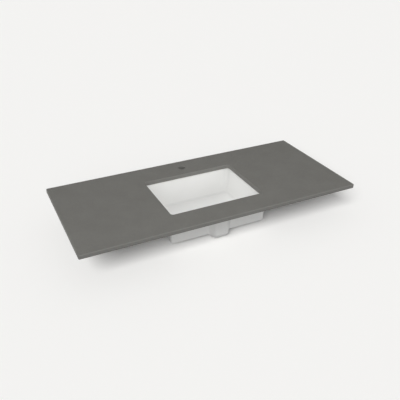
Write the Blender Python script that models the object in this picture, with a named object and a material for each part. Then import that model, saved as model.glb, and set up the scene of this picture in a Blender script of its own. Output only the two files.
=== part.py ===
"""Vanity sink top: a stone slab for a 48 inch cabinet, with a vitreous china basin hung under
its cut-out on a silicone bead and six clip sets.

Frame: +X runs along the slab, +Y towards the wall, +Z up. The origin lies on the slab's
underside, on the centre line, in the strip that bears on the cabinet's back rail.
All sizes are in metres.
"""

import math

import bmesh
import bpy
from mathutils import Matrix

# Slab
SLAB_LENGTH = 1.2446
SLAB_DEPTH = 0.5588
SLAB_THICKNESS = 0.01905
SLAB_ARRIS = 0.0015
SLAB_CORNER_RADIUS = 0.0025
SEAT_SETBACK = 0.022  # from the slab's back edge to the bearing line at the origin

# Cut-out for the basin and hole for the tap
CUTOUT_LENGTH = 0.430
CUTOUT_WIDTH = 0.3137
CUTOUT_CORNER_RADIUS = 0.013
CUTOUT_FRONT_MARGIN = 0.112
CUTOUT_ARRIS = 0.001
TAP_HOLE_DIAMETER = 0.035
TAP_HOLE_SETBACK = 0.067

# Fits
CONTACT_GAP = 0.0003
OVERRUN = 0.004  # how far a cutter passes the face that it opens
EMBED = 0.003  # how far a form that is joined on reaches into its carrier

# Silicone bead between slab and basin
SEALANT_THICKNESS = 0.002
SEALANT_WIDTH = 0.014
SEALANT_INSET = 0.001  # from the basin's inner rim

# Basin; heights are measured from the top face of its flange
RIM_REVEAL = 0.0015  # how far the inner rim lies behind the edge of the cut-out
RIM_ROUND = 0.002
FLANGE_BREADTH = 0.036
FLANGE_THICKNESS = 0.013
FLANGE_CORNER_RADIUS = 0.045
FLANGE_ROUND = 0.003
NECK_FILLET = 0.004
BOWL_DEPTH = 0.107
BOWL_END_DRAFT = 0.024
BOWL_FRONT_DRAFT = 0.012
BOWL_BACK_DRAFT = 0.030
BOWL_CORNER_RADIUS = 0.020  # where the walls meet the floor
FLOOR_FILLET = 0.016
FLOOR_FALL = 0.006
WALL_THICKNESS = 0.010
FLOOR_THICKNESS = 0.008
OUTER_END_DRAFT = 0.004
OUTER_FRONT_DRAFT = 0.003
OUTER_BACK_DRAFT = 0.024
OUTER_FILLET = 0.010
OUTER_CORNER_RADIUS = 0.012

# Drain in the basin's floor
DRAIN_BORE_DIAMETER = 0.045
DRAIN_SEAT_DIAMETER = 0.064
DRAIN_SEAT_DEPTH = 0.004
DRAIN_SEAT_LIP = 0.0015
DRAIN_BOSS_DIAMETER = 0.078
DRAIN_BOSS_DROP = 0.006  # below the underside of the overflow channel
DRAIN_BOSS_ROUND = 0.002

# Overflow: a slot high in the front wall, and a duct down the wall and under the floor
DUCT_WIDTH = 0.040
DUCT_FLOOR_HEIGHT = 0.010
DUCT_WALL = 0.008
HUMP_PROUD = 0.026
HUMP_WIDTH = 0.074  # half-way down its flared sides
HUMP_DROP = 0.019  # below the bowl's underside
HUMP_BEND_RADIUS = 0.030
HUMP_FLARE = 0.034  # breadth of each flared side
SLOT_DROP = 0.026  # from the flange's top face to the slot's middle
SLOT_HEIGHT = 0.009
SLOT_WIDTH = 0.034
OUTLET_WIDTH = 0.024

# Fixing sets
SET_SPREAD = 0.150  # of the front and back pairs, each side of the centre line
ANCHOR_DIAMETER = 0.0095
ANCHOR_LENGTH = 0.011
ANCHOR_END_WALL = 0.002
STUD_DIAMETER = 0.006
STUD_CHAMFER = 0.0008
STUD_TAIL = 0.004  # past the wing nut
CLIP_WIDTH = 0.020
CLIP_THICKNESS = 0.002
CLIP_BEND_RADIUS = 0.0015
CLIP_TOE_LAP = 0.010  # how far the clip reaches under the flange
CLIP_EDGE_CLEARANCE = 0.011  # from the flange's edge to the stud's axis
CLIP_HEEL_REACH = 0.015  # from the stud's axis to the back of the heel
CLIP_SLOT_LENGTH = 0.013
CLIP_SLOT_CLEARANCE = 0.0004
WASHER_DIAMETER = 0.0165
WASHER_THICKNESS = 0.0016
NUT_HUB_DIAMETER = 0.012
NUT_TIP_DIAMETER = 0.0095
NUT_HEIGHT = 0.008
WING_SPAN = 0.031
WING_HEIGHT = 0.014
WING_THICKNESS = 0.0026
WING_TIP_RADIUS = 0.0045
WING_FOOT = 0.002  # height of the wing's lower edge over the nut's base

# Facet counts
EASE_STEPS = 2
CORNER_STEPS = 6
SIDE_STEPS = 6
ARC_STEPS = 5
FLOOR_STEPS = 3
ROUND_STEPS = 24
BORE_STEPS = 48
FLARE_STEPS = 6
SMOOTH_ANGLE_DEGREES = 35  # edges turning more than this stay sharp

# Places that follow from the sizes
SLAB_BACK = SEAT_SETBACK
SLAB_FRONT = SLAB_BACK - SLAB_DEPTH
SLAB_MIDDLE = (SLAB_BACK + SLAB_FRONT) / 2
CUTOUT_MIDDLE = SLAB_FRONT + CUTOUT_FRONT_MARGIN + CUTOUT_WIDTH / 2
RIM_LENGTH = CUTOUT_LENGTH + 2 * RIM_REVEAL
RIM_WIDTH = CUTOUT_WIDTH + 2 * RIM_REVEAL
RIM_CORNER_RADIUS = CUTOUT_CORNER_RADIUS + RIM_REVEAL
FLANGE_LENGTH = RIM_LENGTH + 2 * FLANGE_BREADTH
FLANGE_WIDTH = RIM_WIDTH + 2 * FLANGE_BREADTH
BASIN_TOP = -(SEALANT_THICKNESS + 2 * CONTACT_GAP)
SEAT_HEIGHT = -(BOWL_DEPTH + FLOOR_FALL + DRAIN_SEAT_DEPTH)
UNDERSIDE = -(BOWL_DEPTH + FLOOR_THICKNESS)
CHANNEL_UNDERSIDE = UNDERSIDE - HUMP_DROP
BOSS_BOTTOM = CHANNEL_UNDERSIDE - FLOOR_FALL - DRAIN_BOSS_DROP
STUD_BORE_DIAMETER = STUD_DIAMETER + 2 * CONTACT_GAP
ANCHOR_HOLE_DIAMETER = ANCHOR_DIAMETER + 2 * CONTACT_GAP
ANCHOR_HOLE_DEPTH = ANCHOR_LENGTH + CONTACT_GAP
CLIP_TOP = BASIN_TOP - FLANGE_THICKNESS - CONTACT_GAP
CLIP_BOTTOM = CLIP_TOP - CLIP_THICKNESS
WASHER_TOP = CLIP_BOTTOM - CONTACT_GAP
NUT_TOP = WASHER_TOP - WASHER_THICKNESS - CONTACT_GAP


def clear_scene():
    for item in list(bpy.data.objects):
        bpy.data.objects.remove(item, do_unlink=True)


def material(name, colour, roughness, metallic=0.0):
    made = bpy.data.materials.new(name)
    made.use_nodes = True
    shader = made.node_tree.nodes["Principled BSDF"]
    shader.inputs["Base Color"].default_value = (*colour, 1.0)
    shader.inputs["Roughness"].default_value = roughness
    shader.inputs["Metallic"].default_value = metallic
    return made


def add_object(name, mesh, finish=None):
    made = bpy.data.objects.new(name, mesh)
    bpy.context.scene.collection.objects.link(made)
    if finish:
        mesh.materials.clear()
        mesh.materials.append(finish)
        mesh.shade_smooth()
        mesh.set_sharp_from_angle(angle=math.radians(SMOOTH_ANGLE_DEGREES))
    return made


def add_cutter(name, mesh):
    """A shape that only cuts or joins, and isn't a piece of the product."""
    made = add_object(name, mesh)
    made.hide_render = True
    made.display_type = "WIRE"
    return made


def boolean(target, other, operation):
    modifier = target.modifiers.new(other.name, "BOOLEAN")
    modifier.operation = operation
    modifier.solver = "EXACT"
    modifier.object = other


def carried_out(item):
    """The object's mesh with its modifiers carried out."""
    graph = bpy.context.evaluated_depsgraph_get()
    return bpy.data.meshes.new_from_object(item.evaluated_get(graph))


def mesh_from(name, shape):
    bmesh.ops.recalc_face_normals(shape, faces=shape.faces)
    mesh = bpy.data.meshes.new(name)
    shape.to_mesh(mesh)
    shape.free()
    return mesh


def loft(name, rings, closed=False):
    """A solid through a stack of rings with equal point counts.

    The end rings are capped, or with closed the last ring joins the first.
    """
    shape = bmesh.new()
    loops = [[shape.verts.new(point) for point in ring] for ring in rings]
    following = loops[1:] + loops[:1] if closed else loops[1:]
    for first, second in zip(loops, following):
        for here in range(len(first)):
            there = (here + 1) % len(first)
            shape.faces.new((first[here], first[there], second[there], second[here]))
    if not closed:
        shape.faces.new(loops[0])
        shape.faces.new(loops[-1])
    return mesh_from(name, shape)


def turned(name, profile, steps):
    """A solid of revolution about Z from (radius, height) points, with flat ends."""
    return loft(name, [circle(radius, height, steps) for radius, height in profile])


def tube(name, profile, steps):
    """A ring of revolution about Z whose section is the closed outline of (radius, height)."""
    rings = [circle(radius, height, steps) for radius, height in profile]
    return loft(name, rings, closed=True)


def circle(radius, height, steps):
    turns = [math.tau * step / steps for step in range(steps)]
    return [(radius * math.cos(a), radius * math.sin(a), height) for a in turns]


def arc(centre, radius, start, end, steps):
    """Points of an arc in a plane, with its angles in degrees."""
    points = []
    for step in range(steps + 1):
        angle = math.radians(start + (end - start) * step / steps)
        points.append((centre[0] + radius * math.cos(angle), centre[1] + radius * math.sin(angle)))
    return points


def round_ended(reach, level, radius):
    """Outline of a slot whose round ends are centred at the reach to either side."""
    outline = arc((reach, level), radius, -90, 90, 2 * ARC_STEPS)
    return outline + arc((-reach, level), radius, 90, 270, 2 * ARC_STEPS)


def rounded_rectangle(length, width, radius, height):
    """Points of a rounded rectangle about the origin, each side cut in equal steps."""
    points = []
    half_x = length / 2 - radius
    half_y = width / 2 - radius
    corners = ((1, 1), (-1, 1), (-1, -1), (1, -1))
    for quarter, (across, along) in enumerate(corners):
        centre = (across * half_x, along * half_y)
        bend = arc(centre, radius, 90 * quarter, 90 * (quarter + 1), CORNER_STEPS)
        points += bend
        next_across, next_along = corners[(quarter + 1) % 4]
        start = bend[-1]
        run = ((next_across - across) * half_x, (next_along - along) * half_y)
        for step in range(1, SIDE_STEPS):
            share = step / SIDE_STEPS
            points.append((start[0] + run[0] * share, start[1] + run[1] * share))
    return [(x, y, height) for x, y in points]


def blend_rings(first, second, share):
    mixed = []
    for a, b in zip(first, second):
        mixed.append(tuple(p + (q - p) * share for p, q in zip(a, b)))
    return mixed


def pressed(name, outline, breadth):
    """A solid with an outline of (x, z) points, equally broad to both sides along Y."""
    half = breadth / 2
    return loft(name, [[(x, y, z) for x, z in outline] for y in (-half, half)])


def radial_circle(ring, radius, height):
    """The circle that a ring's points meet when they run straight to the axis."""
    points = []
    for x, y, _ in ring:
        reach = math.hypot(x, y)
        points.append((x * radius / reach, y * radius / reach, height))
    return points


def eased_sides(length, width, radius, bottom, top, arris):
    """Rings of an upright rounded plate whose two rims are eased by a quarter arc."""
    rings = []
    for inset_x, height in arc((arris, bottom + arris), arris, 270, 180, EASE_STEPS):
        rings.append(plate_ring(length, width, radius, inset_x, height))
    for inset_x, height in arc((arris, top - arris), arris, 180, 90, EASE_STEPS):
        rings.append(plate_ring(length, width, radius, inset_x, height))
    return rings


def plate_ring(length, width, radius, inset, height):
    return rounded_rectangle(length - 2 * inset, width - 2 * inset, radius - inset, height)


def moved(mesh, x, y, z):
    mesh.transform(Matrix.Translation((x, y, z)))
    return mesh


def cutout_cutter():
    """Upright walls that flare at both faces of the slab to leave an arris."""
    reach = CUTOUT_ARRIS + OVERRUN
    levels = (
        (-reach, -OVERRUN),
        (0, CUTOUT_ARRIS),
        (0, SLAB_THICKNESS - CUTOUT_ARRIS),
        (-reach, SLAB_THICKNESS + OVERRUN),
    )
    rings = []
    for inset, height in levels:
        rings.append(
            plate_ring(CUTOUT_LENGTH, CUTOUT_WIDTH, CUTOUT_CORNER_RADIUS, inset, height)
        )
    shape = loft("cutout_cutter", rings)
    return add_cutter(shape.name, moved(shape, 0, CUTOUT_MIDDLE, 0))


def tap_hole_cutter():
    radius = TAP_HOLE_DIAMETER / 2
    reach = CUTOUT_ARRIS + OVERRUN
    profile = (
        (radius, -OVERRUN),
        (radius, SLAB_THICKNESS - CUTOUT_ARRIS),
        (radius + reach, SLAB_THICKNESS + OVERRUN),
    )
    shape = turned("tap_hole_cutter", profile, BORE_STEPS)
    return add_cutter(shape.name, moved(shape, 0, SLAB_BACK - TAP_HOLE_SETBACK, 0))


def anchor_hole_cutter(index, place):
    radius = ANCHOR_HOLE_DIAMETER / 2
    profile = ((radius, -OVERRUN), (radius, ANCHOR_HOLE_DEPTH))
    shape = turned(f"anchor_hole_cutter_{index}", profile, ROUND_STEPS)
    return add_cutter(shape.name, moved(shape, place[0], place[1], 0))


def build_stone_top(places, finish):
    rings = eased_sides(
        SLAB_LENGTH, SLAB_DEPTH, SLAB_CORNER_RADIUS, 0, SLAB_THICKNESS, SLAB_ARRIS
    )
    slab = add_object("stone_top", moved(loft("stone_top", rings), 0, SLAB_MIDDLE, 0), finish)
    boolean(slab, cutout_cutter(), "DIFFERENCE")
    boolean(slab, tap_hole_cutter(), "DIFFERENCE")
    for index, (x, y, _) in enumerate(places, start=1):
        boolean(slab, anchor_hole_cutter(index, (x, y)), "DIFFERENCE")
    return slab


def build_rim_sealant(finish):
    bottom = BASIN_TOP + CONTACT_GAP
    top = -CONTACT_GAP
    rings = []
    for outset, height in (
        (SEALANT_INSET + SEALANT_WIDTH, bottom),
        (SEALANT_INSET + SEALANT_WIDTH, top),
        (SEALANT_INSET, top),
        (SEALANT_INSET, bottom),
    ):
        rings.append(plate_ring(RIM_LENGTH, RIM_WIDTH, RIM_CORNER_RADIUS, -outset, height))
    shape = loft("rim_sealant", rings, closed=True)
    return add_object(shape.name, moved(shape, 0, CUTOUT_MIDDLE, 0), finish)


def wall_ring(ends, front, back, radius, height):
    """Rounded rectangle that reaches as far as is told to its ends, its front and its back."""
    ring = rounded_rectangle(2 * ends, front + back, radius, height)
    return [(x, y + (back - front) / 2, z) for x, y, z in ring]


def bowl_ring(share, inset, height):
    """Inner wall at a share of its drafts, drawn in by inset where the floor fillet turns."""
    return wall_ring(
        RIM_LENGTH / 2 - BOWL_END_DRAFT * share - inset,
        RIM_WIDTH / 2 - BOWL_FRONT_DRAFT * share - inset,
        RIM_WIDTH / 2 - BOWL_BACK_DRAFT * share - inset,
        RIM_CORNER_RADIUS + (BOWL_CORNER_RADIUS - RIM_CORNER_RADIUS) * share,
        height,
    )


def bowl_cutter():
    """The bowl's hollow: wall, floor fillet, floor that falls to the drain, and drain seat."""
    rings = []
    lip = arc((-RIM_ROUND, -RIM_ROUND), RIM_ROUND, 90, 0, EASE_STEPS)
    rings.append(bowl_ring(0, -RIM_ROUND, OVERRUN))
    rings += [bowl_ring(0, inset, height) for inset, height in lip]
    fillet_top = -(BOWL_DEPTH - FLOOR_FILLET)
    turn = arc((FLOOR_FILLET, fillet_top), FLOOR_FILLET, 180, 270, ARC_STEPS)
    rings += [bowl_ring(1, inset, height) for inset, height in turn]
    edge = rings[-1]
    seat_edge = DRAIN_SEAT_DIAMETER / 2 + DRAIN_SEAT_LIP
    low = radial_circle(edge, seat_edge, -(BOWL_DEPTH + FLOOR_FALL))
    rings += [blend_rings(edge, low, step / FLOOR_STEPS) for step in range(1, FLOOR_STEPS + 1)]
    for radius, height in (
        (DRAIN_SEAT_DIAMETER / 2, -(BOWL_DEPTH + FLOOR_FALL + DRAIN_SEAT_LIP)),
        (DRAIN_SEAT_DIAMETER / 2, SEAT_HEIGHT),
    ):
        rings.append(radial_circle(edge, radius, height))
    return loft("bowl_cutter", rings)


def outer_ring(share, inset, height):
    """Outer wall at a share of its drafts, drawn in by inset."""
    return wall_ring(
        RIM_LENGTH / 2 + WALL_THICKNESS - OUTER_END_DRAFT * share - inset,
        RIM_WIDTH / 2 + WALL_THICKNESS - OUTER_FRONT_DRAFT * share - inset,
        RIM_WIDTH / 2 + WALL_THICKNESS - OUTER_BACK_DRAFT * share - inset,
        OUTER_CORNER_RADIUS,
        height,
    )


def flange_ring(inset, height):
    return plate_ring(FLANGE_LENGTH, FLANGE_WIDTH, FLANGE_CORNER_RADIUS, inset, height)


def basin_body():
    """The basin's outside, from the drain boss up to the flange, still without its hollow."""
    fillet_top = UNDERSIDE + OUTER_FILLET
    turn = arc((OUTER_FILLET, fillet_top), OUTER_FILLET, 270, 180, ARC_STEPS)
    shell = [outer_ring(1, inset, height) for inset, height in turn]
    edge = shell[0]
    boss_radius = DRAIN_BOSS_DIAMETER / 2
    boss_top = radial_circle(edge, boss_radius, UNDERSIDE - FLOOR_FALL)
    rings = [
        radial_circle(edge, boss_radius - DRAIN_BOSS_ROUND, BOSS_BOTTOM),
        radial_circle(edge, boss_radius, BOSS_BOTTOM + DRAIN_BOSS_ROUND),
    ]
    rings += [blend_rings(boss_top, edge, step / FLOOR_STEPS) for step in range(FLOOR_STEPS)]
    rings += shell
    neck_height = -(FLANGE_THICKNESS + NECK_FILLET)
    neck = arc((-NECK_FILLET, neck_height), NECK_FILLET, 0, 90, EASE_STEPS)
    rings += [outer_ring(0, inset, height) for inset, height in neck]
    rings += [
        flange_ring(FLANGE_ROUND, -FLANGE_THICKNESS),
        flange_ring(0, FLANGE_ROUND - FLANGE_THICKNESS),
        flange_ring(0, -FLANGE_ROUND),
        flange_ring(FLANGE_ROUND, 0),
    ]
    return loft("basin", rings)


def front_line(wall, bend, floor_height, fall, end):
    """Side view of a surface down the basin's front and along its underside.

    It runs from the flange down the front at y = wall, turns with the radius bend, and falls
    along the underside from floor_height at the turn by fall at y = end.
    """
    turn = arc((wall + bend, floor_height + bend), bend, 180, 270, ARC_STEPS)
    return [(wall, -FLANGE_THICKNESS / 2), *turn, (end, floor_height - fall)]


def hump_shape():
    """The overflow hump, lofted across the basin's width.

    Every section is a side view. Its inner line lies within the wall, and its outer line
    stands off the wall by the hump's height times a smooth bell of the distance from its middle.
    """
    wall = -(RIM_WIDTH / 2 + WALL_THICKNESS - OUTER_FRONT_DRAFT)
    end = -DRAIN_BORE_DIAMETER / 2
    base = front_line(wall + EMBED, OUTER_FILLET, UNDERSIDE + EMBED, FLOOR_FALL, end)
    full = front_line(
        wall - HUMP_PROUD, HUMP_BEND_RADIUS, CHANNEL_UNDERSIDE, FLOOR_FALL, end
    )
    inner = front_line(
        wall + 2 * EMBED, OUTER_FILLET, UNDERSIDE + 2 * EMBED, FLOOR_FALL, end
    )
    half = HUMP_WIDTH / 2
    sections = []
    for side in (-1, 1):
        steps = range(FLARE_STEPS + 1)
        for step in steps if side < 0 else reversed(steps):
            share = step / FLARE_STEPS
            x = side * (half + HUMP_FLARE / 2 - HUMP_FLARE * share)
            bell = share * share * (3 - 2 * share)
            outer = [
                (b[0] + (f[0] - b[0]) * bell, b[1] + (f[1] - b[1]) * bell)
                for b, f in zip(base, full)
            ]
            outline = outer + inner[::-1]
            sections.append([(x, y, z) for y, z in outline])
    return loft("hump_shape", sections)


def duct_cutter():
    """The overflow's hollow: a flat duct that keeps one wall from the hump's outside."""
    wall = -(RIM_WIDTH / 2 + WALL_THICKNESS - OUTER_FRONT_DRAFT) - HUMP_PROUD + DUCT_WALL
    rim = -RIM_WIDTH / 2 - DUCT_WALL
    floor = CHANNEL_UNDERSIDE + DUCT_WALL
    end = -DRAIN_SEAT_DIAMETER / 2
    top = -(SLOT_DROP - SLOT_HEIGHT)
    ceiling = floor + DUCT_FLOOR_HEIGHT
    lean = BOWL_FRONT_DRAFT / BOWL_DEPTH
    knee = -(BOWL_DEPTH - FLOOR_FILLET)
    bend = HUMP_BEND_RADIUS - DUCT_WALL
    turn = arc((wall + bend, floor + bend), bend, 180, 270, ARC_STEPS)
    outline = [(wall, top), *turn, (end, floor - FLOOR_FALL)]
    outline += [
        (end, ceiling - FLOOR_FALL),
        (rim - lean * knee + FLOOR_FILLET, ceiling),
        (rim - lean * knee, knee),
        (rim - lean * top, top),
    ]
    half = DUCT_WIDTH / 2
    sections = [[(x, y, z) for y, z in outline] for x in (-half, half)]
    return loft("duct_cutter", sections)


def slot_cutter():
    """Round-ended slot through the front wall, from the bowl into the duct."""
    radius = SLOT_HEIGHT / 2
    half = SLOT_WIDTH / 2 - radius
    outline = round_ended(half, -SLOT_DROP, radius)
    inside = -RIM_WIDTH / 2 + BOWL_FRONT_DRAFT + OVERRUN
    outside = -RIM_WIDTH / 2 - WALL_THICKNESS - OVERRUN
    return loft("slot_cutter", [[(x, y, z) for x, z in outline] for y in (outside, inside)])


def drain_cutter():
    radius = DRAIN_BORE_DIAMETER / 2
    profile = ((radius, BOSS_BOTTOM - OVERRUN), (radius, SEAT_HEIGHT + OVERRUN))
    return turned("drain_cutter", profile, BORE_STEPS)


def outlet_cutter():
    """Window between the duct's end and the drain bore."""
    half = OUTLET_WIDTH / 2
    floor = CHANNEL_UNDERSIDE + DUCT_WALL - FLOOR_FALL
    levels = (floor + EMBED / 2, floor + DUCT_FLOOR_HEIGHT - EMBED / 2)
    far = -DRAIN_SEAT_DIAMETER / 2 - OVERRUN
    near = -DRAIN_BORE_DIAMETER / 2 + 2 * OVERRUN
    rings = []
    for z in levels:
        rings.append([(-half, far, z), (half, far, z), (half, near, z), (-half, near, z)])
    return loft("outlet_cutter", rings)


def build_basin(finish):
    basin = add_object("basin", moved(basin_body(), 0, CUTOUT_MIDDLE, BASIN_TOP), finish)
    for shape, operation in (
        (hump_shape(), "UNION"),
        (bowl_cutter(), "DIFFERENCE"),
        (duct_cutter(), "DIFFERENCE"),
        (slot_cutter(), "DIFFERENCE"),
        (drain_cutter(), "DIFFERENCE"),
        (outlet_cutter(), "DIFFERENCE"),
    ):
        other = add_cutter(shape.name, moved(shape, 0, CUTOUT_MIDDLE, BASIN_TOP))
        boolean(basin, other, operation)
    return basin


def set_places():
    """Stud axis (x, y) of each fixing set, and the turn that points its clip at the basin."""
    reach_x = FLANGE_LENGTH / 2 + CLIP_EDGE_CLEARANCE
    reach_y = FLANGE_WIDTH / 2 + CLIP_EDGE_CLEARANCE
    front = CUTOUT_MIDDLE - reach_y
    back = CUTOUT_MIDDLE + reach_y
    return (
        (-SET_SPREAD, front, 90),
        (SET_SPREAD, front, 90),
        (reach_x, CUTOUT_MIDDLE, 180),
        (SET_SPREAD, back, 270),
        (-SET_SPREAD, back, 270),
        (-reach_x, CUTOUT_MIDDLE, 0),
    )


def anchor_mesh():
    """Threaded insert: a bush that is open below and closed at the end of its hole."""
    outer = ANCHOR_DIAMETER / 2
    bore = STUD_BORE_DIAMETER / 2
    profile = (
        (outer, 0),
        (outer, ANCHOR_LENGTH),
        (bore, ANCHOR_LENGTH),
        (bore, 0),
    )
    return tube("anchor", profile, ROUND_STEPS)


def stud_mesh():
    radius = STUD_DIAMETER / 2
    low = NUT_TOP - NUT_HEIGHT - STUD_TAIL
    high = ANCHOR_LENGTH - ANCHOR_END_WALL
    profile = (
        (radius - STUD_CHAMFER, low),
        (radius, low + STUD_CHAMFER),
        (radius, high - STUD_CHAMFER),
        (radius - STUD_CHAMFER, high),
    )
    return turned("stud", profile, ROUND_STEPS)


def clip_mesh():
    """Strap bent up at its heel: the toe lifts the flange, the heel bears on the slab."""
    toe = CLIP_EDGE_CLEARANCE + CLIP_TOE_LAP
    heel = -CLIP_HEEL_REACH
    bend_outer = CLIP_BEND_RADIUS + CLIP_THICKNESS
    centre = (heel + bend_outer, CLIP_BOTTOM + bend_outer)
    outline = [(toe, CLIP_TOP), (toe, CLIP_BOTTOM)]
    outline += arc(centre, bend_outer, 270, 180, ARC_STEPS)
    outline += [(heel, -CONTACT_GAP), (heel + CLIP_THICKNESS, -CONTACT_GAP)]
    outline += arc(centre, CLIP_BEND_RADIUS, 180, 270, ARC_STEPS)
    strap = add_object("strap", pressed("strap", outline, CLIP_WIDTH))
    radius = STUD_DIAMETER / 2 + CLIP_SLOT_CLEARANCE
    travel = CLIP_SLOT_LENGTH / 2 - radius
    outline = round_ended(travel, 0, radius)
    levels = (CLIP_BOTTOM - OVERRUN, CLIP_TOP + OVERRUN)
    cutter = add_object("slot", loft("slot", [[(x, y, z) for x, y in outline] for z in levels]))
    boolean(strap, cutter, "DIFFERENCE")
    return finished(strap, cutter)


def finished(item, *helpers):
    """The finished mesh of an item, whose working objects are then taken away."""
    mesh = carried_out(item)
    for used in (item, *helpers):
        bpy.data.objects.remove(used, do_unlink=True)
    return mesh


def washer_mesh():
    outer = WASHER_DIAMETER / 2
    bore = STUD_BORE_DIAMETER / 2
    low = WASHER_TOP - WASHER_THICKNESS
    profile = ((outer, low), (outer, WASHER_TOP), (bore, WASHER_TOP), (bore, low))
    return tube("washer", profile, ROUND_STEPS)


def wing_nut_mesh():
    """Coned hub with two ears on one plate through its middle, then bored for the stud."""
    base = NUT_TOP
    profile = (
        (NUT_TIP_DIAMETER / 2, base - NUT_HEIGHT),
        (NUT_HUB_DIAMETER / 2, base - WING_FOOT),
        (NUT_HUB_DIAMETER / 2, base),
    )
    hub = add_object("hub", turned("hub", profile, ROUND_STEPS))
    tip = (WING_SPAN / 2 - WING_TIP_RADIUS, base - WING_HEIGHT + WING_TIP_RADIUS)
    ear = [(0, base - WING_FOOT)]
    ear += arc(tip, WING_TIP_RADIUS, 60, -120, 2 * ARC_STEPS)
    ear += [(0, base - NUT_HEIGHT)]
    outline = ear + [(-x, z) for x, z in ear[-2:0:-1]]
    wings = add_object("wings", pressed("wings", outline, WING_THICKNESS))
    radius = STUD_BORE_DIAMETER / 2
    bore_profile = ((radius, base - NUT_HEIGHT - OVERRUN), (radius, base + OVERRUN))
    bore = add_object("bore", turned("bore", bore_profile, ROUND_STEPS))
    boolean(hub, wings, "UNION")
    boolean(hub, bore, "DIFFERENCE")
    return finished(hub, wings, bore)


def build_fixing_sets(places, brass, zinc):
    pieces = (
        ("anchor", anchor_mesh(), brass),
        ("stud", stud_mesh(), zinc),
        ("clip", clip_mesh(), zinc),
        ("washer", washer_mesh(), zinc),
        ("wing_nut", wing_nut_mesh(), brass),
    )
    for index, (x, y, turn) in enumerate(places, start=1):
        for name, mesh, finish in pieces:
            piece = add_object(f"{name}_{index}", mesh, finish)
            piece.location = (x, y, 0)
            piece.rotation_euler = (0, 0, math.radians(turn))


def main():
    clear_scene()
    stone = material("grey_stone", (0.165, 0.160, 0.150), 0.42)
    china = material("white_china", (0.86, 0.86, 0.84), 0.12)
    silicone = material("clear_silicone", (0.78, 0.78, 0.75), 0.45)
    brass = material("brass", (0.60, 0.44, 0.20), 0.30, 1.0)
    zinc = material("zinc_steel", (0.55, 0.56, 0.58), 0.38, 1.0)
    places = set_places()
    build_stone_top(places, stone)
    build_rim_sealant(silicone)
    build_basin(china)
    build_fixing_sets(places, brass, zinc)


main()
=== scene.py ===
"""Looks of the vanity sink top: stone slab, undermount china basin, bead and fixings.

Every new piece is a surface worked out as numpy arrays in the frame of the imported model:
+X along the slab, +Y towards the wall, +Z up, in metres. The basin is drawn about its own
middle, with heights from the top of its flange, and then moved to its place.
"""

import math

import bmesh
import bpy
import numpy as np
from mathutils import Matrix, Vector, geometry


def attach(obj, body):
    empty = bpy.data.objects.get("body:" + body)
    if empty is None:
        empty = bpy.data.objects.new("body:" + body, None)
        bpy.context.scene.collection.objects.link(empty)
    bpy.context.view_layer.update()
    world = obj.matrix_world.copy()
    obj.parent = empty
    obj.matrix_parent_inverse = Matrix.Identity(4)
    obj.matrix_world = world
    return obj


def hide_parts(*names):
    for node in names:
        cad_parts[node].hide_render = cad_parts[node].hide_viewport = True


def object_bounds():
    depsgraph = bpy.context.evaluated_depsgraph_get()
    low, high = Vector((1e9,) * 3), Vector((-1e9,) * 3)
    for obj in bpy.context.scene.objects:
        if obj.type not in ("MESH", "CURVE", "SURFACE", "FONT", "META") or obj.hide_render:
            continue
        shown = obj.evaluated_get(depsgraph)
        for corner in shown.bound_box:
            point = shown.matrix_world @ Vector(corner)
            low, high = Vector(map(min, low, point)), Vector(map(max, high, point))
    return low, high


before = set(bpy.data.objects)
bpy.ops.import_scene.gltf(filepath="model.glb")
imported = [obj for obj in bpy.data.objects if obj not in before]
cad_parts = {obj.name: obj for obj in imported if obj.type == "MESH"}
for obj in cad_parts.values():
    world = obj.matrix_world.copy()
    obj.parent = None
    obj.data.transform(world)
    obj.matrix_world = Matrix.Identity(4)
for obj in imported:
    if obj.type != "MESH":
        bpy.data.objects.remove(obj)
cad_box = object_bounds()

# Slab
SLAB_LENGTH, SLAB_DEPTH, SLAB_THICKNESS = 1.2446, 0.5588, 0.01905
SLAB_ARRIS, SLAB_CORNER_RADIUS = 0.0035, 0.0050
SLAB_MIDDLE = -0.2574
CUTOUT_LENGTH, CUTOUT_WIDTH, CUTOUT_CORNER_RADIUS = 0.430, 0.3137, 0.013
CUTOUT_MIDDLE = -0.26795
CUTOUT_ARRIS = 0.001
TAP_HOLE_RADIUS, TAP_HOLE_MIDDLE = 0.0175, -0.045
ANCHOR_HOLE_RADIUS, ANCHOR_HOLE_DEPTH = 0.00505, 0.0113
GUARD = 0.0008  # breadth of the strip that keeps a flat face flat up to its rounded edge

# Basin, about its middle, with heights from the top of its flange
BASIN_TOP = -0.0026
RIM_LENGTH, RIM_WIDTH, RIM_CORNER_RADIUS = 0.433, 0.3167, 0.0145
RIM_ROUND = 0.002
FLANGE_BREADTH, FLANGE_THICKNESS = 0.036, 0.013
FLANGE_CORNER_RADIUS, FLANGE_ROUND, NECK_FILLET = 0.045, 0.003, 0.004
BOWL_DEPTH, BOWL_CORNER_RADIUS, FLOOR_FILLET, FLOOR_FALL = 0.107, 0.020, 0.016, 0.006
BOWL_DRAFTS = (0.024, 0.012, 0.030)  # of its ends, its front and its back
WALL_DROP = BOWL_DEPTH - FLOOR_FILLET - RIM_ROUND  # height of the straight part of its walls
FLOOR_LOW = -BOWL_DEPTH - FLOOR_FALL
WALL_THICKNESS, UNDERSIDE = 0.010, -0.115
OUTER_DRAFTS = (0.004, 0.003, 0.024)
OUTER_FILLET, OUTER_CORNER_RADIUS = 0.008, 0.010
SEAT_RADIUS, SEAT_EDGE_RADIUS, SEAT_HEIGHT, SEAT_TAPER = 0.032, 0.0355, -0.117, 0.0004
SEAT_ROUNDS = (0.0015, 0.001, 0.0008)  # its edge, its foot and the bore's mouth
BORE_RADIUS, BORE_ROUND, BOSS_RADIUS, BOSS_BOTTOM = 0.0225, 0.0006, 0.039, -0.146
BOSS_ROUND, BOSS_FILLET = 0.002, 0.003

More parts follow.
